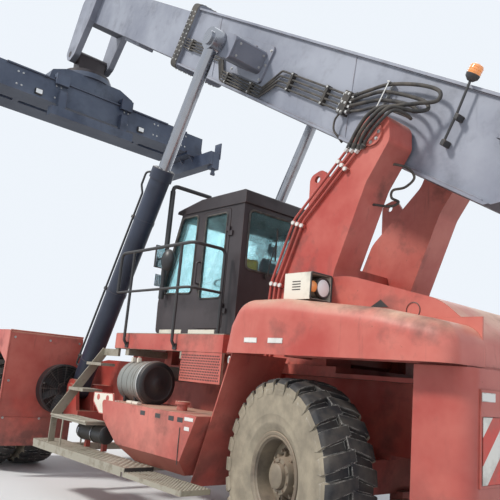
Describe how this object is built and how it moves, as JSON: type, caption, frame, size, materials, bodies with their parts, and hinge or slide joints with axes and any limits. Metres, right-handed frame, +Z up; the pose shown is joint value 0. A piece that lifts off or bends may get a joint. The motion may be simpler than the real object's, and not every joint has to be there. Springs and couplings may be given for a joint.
{
  "type": "container reach stacker",
  "caption": "Mobile container handler with a telescopic boom on twin towers, lift rams, cab, counterweight, twin drive wheels, steered rear wheels and a slewing spreader.",
  "frame": {"origin": "ground level under the middle of the whole, in the machine's mid plane", "axes": "+X to the machine's right, +Y forward along the boom, +Z up"},
  "size_m": [6.098, 11.8904, 9.5019],
  "materials": {
    "red_paint": "faded and dusty",
    "grey_paint": "satin, weathered",
    "charcoal_paint": "satin",
    "ram_paint": "satin",
    "spreader_paint": "satin, weathered",
    "cream_paint": "satin, weathered",
    "rim_paint": "dusty",
    "cast_weight": "painted",
    "tread_steel": "chequered, dirty",
    "dark_steel": "satin",
    "rod_chrome": "polished",
    "tyre": "dusty",
    "glass": "tinted",
    "cab_trim": "matt",
    "hose": "matt"
  },
  "bodies": {
    "chassis": {"main_frame": "red_paint", "towers": "red_paint", "front_axle": "red_paint", "rear_axle": "dark_steel", "front_mudguards": "red_paint", "rear_fenders": "red_paint", "engine_hood": "red_paint", "counterweight": "cast_weight", "side_tanks": "red_paint", "walkways": "tread_steel", "handrails": "dark_steel", "air_cleaner": "charcoal_paint", "exhaust": "dark_steel", "cooler_fan": "dark_steel", "lamp_boxes": "cream_paint", "mirrors": "dark_steel", "engine": "dark_steel", "cab_shell": "charcoal_paint", "cab_glass": "glass", "cab_interior": "cab_trim"},
    "outer_boom": {"boom_outer": "grey_paint", "boom_hoses": "hose"},
    "inner_boom": {"boom_inner": "grey_paint", "boom_head": "grey_paint"},
    "lift_barrel_left": {"lift_barrel_left": "ram_paint"},
    "lift_barrel_right": {"lift_barrel_right": "ram_paint"},
    "lift_rod_left": {"lift_rod_left": "rod_chrome"},
    "lift_rod_right": {"lift_rod_right": "rod_chrome"},
    "tilt_yoke": {"tilt_yoke": "spreader_paint"},
    "slew_frame": {"slew_frame": "spreader_paint"},
    "spreader_frame": {"spreader_frame": "spreader_paint"},
    "spreader_end_left": {"spreader_end_left": "spreader_paint"},
    "spreader_end_right": {"spreader_end_right": "spreader_paint"},
    "knuckle_left": {"knuckle_left": "dark_steel"},
    "knuckle_right": {"knuckle_right": "dark_steel"},
    "rear_wheel_left": {"rear_tyre_left": "tyre", "rear_rim_left": "rim_paint"},
    "rear_wheel_right": {"rear_tyre_right": "tyre", "rear_rim_right": "rim_paint"},
    "front_wheels_left": {"front_tyres_left": "tyre", "front_rims_left": "rim_paint"},
    "front_wheels_right": {"front_tyres_right": "tyre", "front_rims_right": "rim_paint"},
    "door": {"cab_door": "charcoal_paint", "door_glass": "glass"}
  },
  "joints": [
    {"name": "boom_lift", "type": "hinge", "parent": "chassis", "child": "outer_boom", "pos_m": [0, -4.04428, 4], "axis": [1, 0, 0], "range_deg": [-25.2, 26.8]},
    {"name": "boom_extend", "type": "slide", "parent": "outer_boom", "child": "inner_boom", "axis": [0, -0.8554, -0.518], "range_m": [-2.7, 2]},
    {"name": "head_tilt", "type": "hinge", "parent": "inner_boom", "child": "tilt_yoke", "pos_m": [0, 4.64043, 8.17239], "axis": [-1, 0, 0], "range_deg": [-27, 27]},
    {"name": "slew", "type": "hinge", "parent": "tilt_yoke", "child": "slew_frame", "pos_m": [0, 4.70572, 7.72], "axis": [0, 0, 1], "range_deg": [-95, 185]},
    {"name": "side_shift", "type": "slide", "parent": "slew_frame", "child": "spreader_frame", "axis": [1, 0, 0], "range_m": [-0.8, 0.8]},
    {"name": "spreader_left", "type": "slide", "parent": "spreader_frame", "child": "spreader_end_left", "axis": [-1, 0, 0], "range_m": [0, 3.05]},
    {"name": "spreader_right", "type": "slide", "parent": "spreader_frame", "child": "spreader_end_right", "axis": [1, 0, 0], "range_m": [0, 3.05]},
    {"name": "cab_door_hinge", "type": "hinge", "parent": "chassis", "child": "door", "pos_m": [-0.796, -1.90928, 2.85], "axis": [0, 0, 1], "range_deg": [0, 68]},
    {"name": "lift_barrel_hinge_left", "type": "hinge", "parent": "chassis", "child": "lift_barrel_left", "pos_m": [-1.08, 0.82572, 1.22], "axis": [1, 0, 0], "range_deg": [-2.57, 2.73]},
    {"name": "lift_rod_slide_left", "type": "slide", "parent": "lift_barrel_left", "child": "lift_rod_left", "axis": [0, -0.4587, 0.8886], "range_m": [-1.311, 1.3941]},
    {"name": "steer_left", "type": "hinge", "parent": "chassis", "child": "knuckle_left", "pos_m": [-1.04, -3.89428, 0.805], "axis": [0, 0, 1], "range_deg": [-38, 62]},
    {"name": "rear_wheel_spin_left", "type": "hinge", "parent": "knuckle_left", "child": "rear_wheel_left", "pos_m": [-1.38235, -3.82151, 0.805], "axis": [0.9781, -0.2079, 0], "continuous": true},
    {"name": "front_wheel_spin_left", "type": "hinge", "parent": "chassis", "child": "front_wheels_left", "pos_m": [-1.515, 2.10572, 0.805], "axis": [1, 0, 0], "continuous": true},
    {"name": "lift_barrel_hinge_right", "type": "hinge", "parent": "chassis", "child": "lift_barrel_right", "pos_m": [1.08, 0.82572, 1.22], "axis": [1, 0, 0], "range_deg": [-2.57, 2.73]},
    {"name": "lift_rod_slide_right", "type": "slide", "parent": "lift_barrel_right", "child": "lift_rod_right", "axis": [0, -0.4587, 0.8886], "range_m": [-1.311, 1.3941]},
    {"name": "steer_right", "type": "hinge", "parent": "chassis", "child": "knuckle_right", "pos_m": [1.04, -3.89428, 0.805], "axis": [0, 0, 1], "range_deg": [-38, 62]},
    {"name": "rear_wheel_spin_right", "type": "hinge", "parent": "knuckle_right", "child": "rear_wheel_right", "pos_m": [1.38235, -3.96705, 0.805], "axis": [0.9781, -0.2079, 0], "continuous": true},
    {"name": "front_wheel_spin_right", "type": "hinge", "parent": "chassis", "child": "front_wheels_right", "pos_m": [1.515, 2.10572, 0.805], "axis": [1, 0, 0], "continuous": true}
  ],
  "couplings": [
    {"joint": "steer_right", "follows": "steer_left", "ratio": 1},
    {"joint": "spreader_right", "follows": "spreader_left", "ratio": 1},
    {"joint": "lift_barrel_hinge_left", "follows": "boom_lift", "ratio": 0.1},
    {"joint": "lift_rod_slide_left", "follows": "boom_lift", "m_per_rad": 2.974},
    {"joint": "lift_barrel_hinge_right", "follows": "boom_lift", "ratio": 0.1},
    {"joint": "lift_rod_slide_right", "follows": "boom_lift", "m_per_rad": 2.974}
  ]
}
